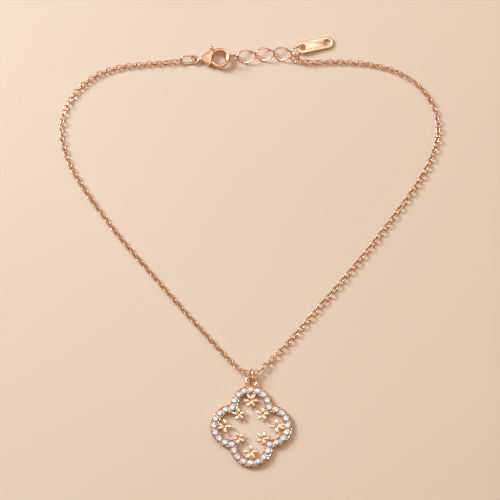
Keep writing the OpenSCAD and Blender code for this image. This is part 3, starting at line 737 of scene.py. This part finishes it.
def modelBarArc(start, end, width, height, edge):    # rounded bar, spun about the hook's middle
    section = []
    cornerSteps = 4
    for corner, (sx, sy) in enumerate([(1, 1), (-1, 1), (-1, -1), (1, -1)]):
        for k in range(cornerSteps + 1):
            spot = toward(90 * (corner + k / cornerSteps), edge)
            section.append((sx * (width / 2 - edge) + spot.x, sy * (height / 2 - edge) + spot.y))
    bpy.ops.mesh.primitive_circle_add(vertices=len(section))
    arc = bpy.context.object
    middle = Vector(clasp["hookMid"])
    mean = clasp["hookR"] - clasp["hookW"] / 2
    for vert, (out, z) in zip(arc.data.vertices, section):
        vert.co = (*(middle + toward(start, mean + out)), z)
    editOn(arc)
    bpy.ops.mesh.select_all(action="SELECT")
    bpy.ops.mesh.spin(steps=48, angle=math.radians(start - end), center=middle.to_3d(), axis=(0, 0, 1))
    bpy.ops.mesh.select_all(action="SELECT")
    bpy.ops.mesh.fill_holes(sides=0)
    editOff()
    tidyMesh(arc)
    return arc


def modelBeadLine(spots, radius, z):    # fine raised line along the given points
    curve = bpy.data.curves.new("line", "CURVE")
    curve.dimensions = "3D"
    spline = curve.splines.new("NURBS")
    spline.points.add(len(spots) - 1)
    for point, spot in zip(spline.points, spots):
        point.co = (spot[0], spot[1], z, 1)
    spline.use_endpoint_u = True
    spline.order_u = 4
    spline.resolution_u = 6
    curve.bevel_depth = radius
    curve.bevel_resolution = 3
    curve.use_fill_caps = True
    line = bpy.data.objects.new("line", curve)
    bpy.context.scene.collection.objects.link(line)
    choose(line)
    bpy.ops.object.convert(target="MESH")
    line = bpy.context.object
    tidyMesh(line)
    return line


def pivotDisc(radius, height):
    bpy.ops.mesh.primitive_cylinder_add(vertices=64, radius=radius, depth=height,
                                        location=(*clasp["pivot"], 0))
    disc = bpy.context.object
    applyPlace(disc)
    return disc


# The S-shaped edge beside the opening, from the hook's top down to the pin, then the body's outline
edgeLine = [(7.25, 3.0), (6.75, 2.3), (6.33, 1.5), (6.0, 0.6), (5.8, -0.3), (5.62, -1.1), (5.35, -1.85)]
lowerLine = [(2.2, -0.8), (3.3, -1.55), (4.3, -2.27), (4.95, -2.54), (5.55, -2.42), (6.0, -1.95)]
upperLine = [(6.9, 3.42), (6.1, 3.13), (5.1, 2.63), (4.0, 1.98), (3.0, 1.32), (2.1, 0.78)]
# The outline of the domed cheek, within the body's
cheekLower = [(1.75, -0.3), (3.2, -1.32), (4.35, -2.1), (5.0, -2.28)]
cheekUpper = [(6.85, 3.2), (6.1, 2.98), (5.1, 2.48), (4.0, 1.83), (3.0, 1.17), (1.9, 0.45)]


def makeClaspBody(place):
    neckX, neckY = clasp["neck"]
    inner = [(x + clasp["rim"], y) for x, y in reversed(edgeLine)]
    top = Vector(clasp["hookMid"]) + toward(clasp["hookMeets"], clasp["hookR"] - clasp["hookOverlap"])
    outline = [(neckX, -neckY), *lowerLine, *inner[1:], tuple(top), *upperLine, (neckX, neckY)]
    half = clasp["baseH"] / 2
    body = modelPlate(outline, -half, half)
    roundEdges(body, clasp["baseEdge"])
    cheekInner = [(x - clasp["cheekIn"], y) for x, y in reversed(edgeLine[1:-1])]
    domed = [*cheekLower, *cheekInner, *cheekUpper]
    for side in (1, -1):
        cheek = modelPlate(domed, side * (half - clasp["cheekSink"]), side * clasp["thick"] / 2)
        roundEdges(cheek, clasp["cheekEdge"], 6)
        combine(body, cheek, "UNION")
        combine(body, modelBeadLine(edgeLine, clasp["lineR"], side * clasp["lineZ"]), "UNION")
    hook = modelBarArc(clasp["hookFrom"], clasp["hookTo"], clasp["hookW"], clasp["hookH"], clasp["hookEdge"])
    combine(hook, pivotDisc(thumb["gateReach"] + thumb["gateGap"], through), "DIFFERENCE")
    combine(body, hook, "UNION")
    bpy.ops.mesh.primitive_torus_add(major_radius=(clasp["eyeHole"] + clasp["eyeWire"]) / 2,
                                     minor_radius=clasp["eyeWire"] / 2, major_segments=40,
                                     minor_segments=14)
    combine(body, bpy.context.object, "UNION")
    for cutter in leverRoom():
        combine(body, cutter, "DIFFERENCE")
    combine(body, pivotDisc(pinShape["hole"], through), "DIFFERENCE")
    finish(body, "clasp_shell", gold, necklace, "clasp_body", place=place, angle=38)


def leverRoom():    # the slot that the lever swings in
    px, py = clasp["pivot"]
    gap = (thumb["slot"] - thumb["t"]) / 2
    stem = Vector(thumb["knob"]) - Vector(clasp["pivot"])
    turn = math.degrees(math.atan2(stem.y, stem.x))
    half = thumb["stemW"] / 2 + gap
    far = stem.length + thumb["room"]
    wide = thumb["barrelR"] + gap
    swing = thumb["swing"]
    sector = []
    for along, across, extra in ((0, -half, 0), (far, -half, 0), (far, half, swing), (0, half, swing)):
        sector.append(Vector(clasp["pivot"]) + turned(turn + extra).to_2x2() @ Vector((along, across)))
    reach = thumb["gateReach"]
    gateSide = [(px, py - wide), (px + reach, py - reach), (px + reach, py + wide), (px, py + wide)]
    low, high = -thumb["slot"] / 2, thumb["slot"] / 2
    return [pivotDisc(wide, thumb["slot"]), modelPlate(sector, low, high), modelPlate(gateSide, low, high)]


def makeLever(place):
    gate = modelBarArc(thumb["gateFrom"], thumb["gateTo"], clasp["hookW"], thumb["gateH"], thumb["gateEdge"])
    combine(gate, pivotDisc(thumb["gateReach"], through), "INTERSECT")
    pivot = Vector(clasp["pivot"])
    knob = Vector(thumb["knob"])
    root = Vector(clasp["hookMid"]) + toward(thumb["gateFrom"], clasp["hookR"] - clasp["hookW"] / 2)
    half = thumb["t"] / 2
    rootLow, rootHigh = (root + Vector(off) for off in thumb["armRoot"])
    wide = Vector((0, thumb["armHalf"]))
    arm = modelPlate([pivot - wide, rootLow, rootHigh, pivot + wide], -half, half)
    combine(gate, arm, "UNION")
    combine(gate, pivotDisc(thumb["barrelR"], thumb["t"]), "UNION")
    along = (knob - pivot).normalized()
    aside = Vector((-along.y, along.x)) * thumb["stemW"] / 2
    stem = modelPlate([pivot - aside, knob - aside, knob + aside, pivot + aside], -half, half)
    roundEdges(stem, thumb["stemEdge"], 2)
    combine(gate, stem, "UNION")
    bpy.ops.mesh.primitive_uv_sphere_add(segments=24, ring_count=16, radius=thumb["knobR"],
                                         location=(*knob, 0))
    tip = bpy.context.object
    tip.rotation_euler.z = math.atan2(along.y, along.x)
    tip.scale.x = thumb["knobLong"]
    applyPlace(tip)
    combine(gate, tip, "UNION")
    combine(gate, pivotDisc(pinShape["hole"], through), "DIFFERENCE")
    finish(gate, "thumb_lever", gold, lever, "clasp_lever", place=place, angle=38)


def makePin(place):
    pin = pivotDisc(pinShape["r"], clasp["thick"])
    roundEdges(pin, pinShape["edge"])
    finish(pin, "lever_pin", gold, necklace, "clasp_pin", place=place)


claspFrame = claspPlace()
makeClaspBody(claspFrame)
makeLever(claspFrame)
makePin(claspFrame)
print("clasp modelled")


# Table, lights and camera

table = {
    "size": 1600, "colour": (0.81, 0.665, 0.535), "shades": (0.975, 1.02), "cloud": 5, "weave": 2600,
    "weaveBump": 0.08, "weaveDepth": 0.0001, "roughness": 0.85, "specular": 0.15,
}
# Each light's place, its size along X and Y before it is turned to the necklace, its watts and colour
lights = {
    "softbox_key": ((-700, 440, 590), (380, 380), 10.7, (0.775, 0.9, 1)),
    "softbox_over": ((-20, 180, 690), (700, 700), 1.1, (1, 0.93, 0.86)),
    "softbox_right": ((470, 40, 330), (150, 150), 0.35, (1, 0.92, 0.84)),
    "strip_clasp": ((85, 390, 680), (330, 130), 0.32, (0.95, 0.97, 1)),
    "strip_clover": ((0, 60, 680), (260, 130), 0.14, (0.95, 0.97, 1)),
}
sky = {"low": (0.22, 0.08, 0.025), "high": (1, 0.57, 0.28), "from": 0.1, "to": 0.8, "strength": 0.33}
view = {"lens": 120, "sensor": 36, "elevation": 74, "distance": 583, "target": (0, -2, 0)}


def paleTable(name):
    material, tree, shader, coords = newMaterial(name)
    cloud = noiseOn(tree, coords, table["cloud"])
    dark, bright = (Vector(table["colour"]) * shade for shade in table["shades"])
    tree.links.new(coloursOf(tree, cloud, (0.3, dark), (0.7, bright)), shader.inputs["Base Color"])
    shader.inputs["Roughness"].default_value = table["roughness"]
    shader.inputs["Specular IOR Level"].default_value = table["specular"]
    weave = noiseOn(tree, coords, table["weave"])
    bumpFrom(tree, shader, weave, table["weaveBump"], table["weaveDepth"])
    return material


def addTable():
    bpy.ops.mesh.primitive_plane_add(size=table["size"] * mm, location=(0, 0, 0))
    top = bpy.context.object
    top.name = "pale_table"
    top.data.materials.append(paleTable("pale_table"))


def addLights():
    for name, (at, size, watts, colour) in lights.items():
        spot = Vector(at) * mm
        bpy.ops.object.light_add(type="AREA", location=spot,
                                 rotation=(-spot).to_track_quat("-Z", "Y").to_euler())
        box = bpy.context.object
        box.name = name
        box.data.shape = "RECTANGLE"
        box.data.size, box.data.size_y = (side * mm for side in size)
        box.data.energy = watts
        box.data.color = colour
    world = bpy.data.worlds.new("soft_room")
    bpy.context.scene.world = world
    world.use_nodes = True
    tree = world.node_tree
    ways = tree.nodes.new("ShaderNodeTexCoord")
    parts = tree.nodes.new("ShaderNodeSeparateXYZ")
    tree.links.new(ways.outputs["Generated"], parts.inputs["Vector"])
    glow = coloursOf(tree, parts.outputs["Z"], (sky["from"], sky["low"]), (sky["to"], sky["high"]))
    tree.links.new(glow, tree.nodes["Background"].inputs["Color"])
    tree.nodes["Background"].inputs["Strength"].default_value = sky["strength"]


def addCamera():
    up = math.radians(view["elevation"])
    away = Vector((0, -math.cos(up), math.sin(up))) * view["distance"]
    bpy.ops.object.camera_add(location=(Vector(view["target"]) + away) * mm,
                              rotation=(math.pi / 2 - up, 0, 0))
    camera = bpy.context.object
    camera.data.lens = view["lens"]
    camera.data.sensor_width = view["sensor"]
    bpy.context.scene.camera = camera
    bpy.context.scene.view_settings.view_transform = "Standard"


addTable()
addLights()
addCamera()
print("table, lights and camera set")
